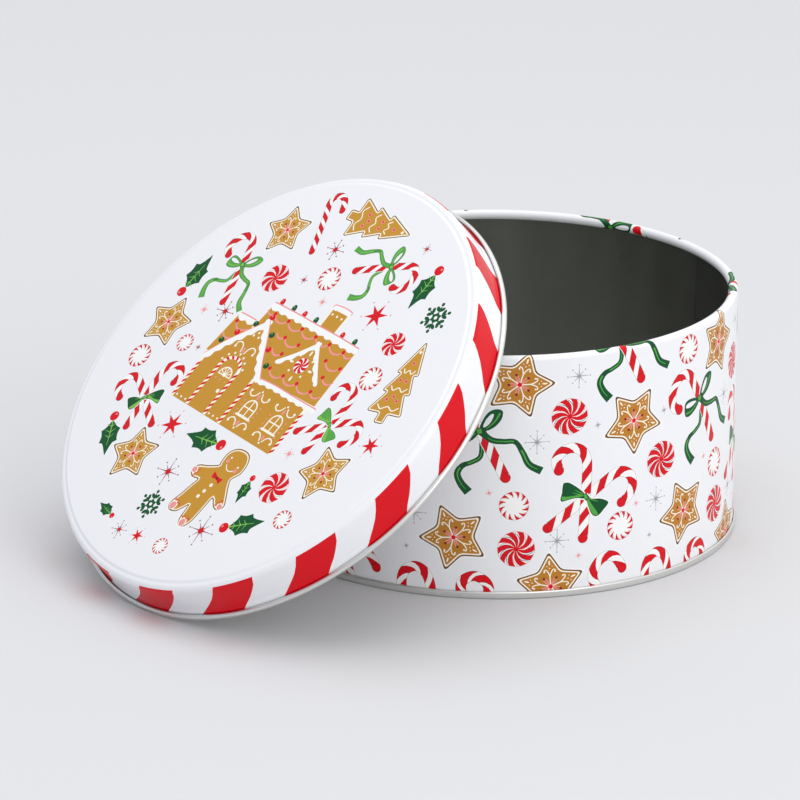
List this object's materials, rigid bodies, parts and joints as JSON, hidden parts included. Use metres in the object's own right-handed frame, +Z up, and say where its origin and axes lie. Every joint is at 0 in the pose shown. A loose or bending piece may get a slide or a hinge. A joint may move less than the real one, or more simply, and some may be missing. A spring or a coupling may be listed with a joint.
{
  "type": "round cookie tin",
  "caption": "Round tinplate cookie tin with a straight rolled wall, seamed base and slip-on lid with a rolled hem, the lid shown leaning on the rim.",
  "frame": {"origin": "centre of the base, on the plane the tin stands on", "axes": "+Z up along the tin's axis, out of its mouth; the lid leans on the -X side of the rim, and +Y completes the right-handed frame"},
  "size_m": [0.276, 0.1952, 0.1428],
  "materials": {
    "printed_wall": "white-lacquered tinplate with a printed sweets pattern, semi-gloss; bare grey metal inside",
    "bare_tinplate": "bare tinplate, satin",
    "printed_lid": "white-lacquered tinplate with printed sweets, a gingerbread house and red skirt stripes, semi-gloss; bare grey metal inside"
  },
  "bodies": {
    "tin": {"body_wall": "printed_wall", "base_plate": "bare_tinplate"},
    "lid": {"lid": "printed_lid"}
  },
  "joints": [
    {"name": "lid_lift", "type": "slide", "parent": "tin", "child": "lid", "axis": [0, 0, 1], "range_m": [0, 0.12]}
  ]
}
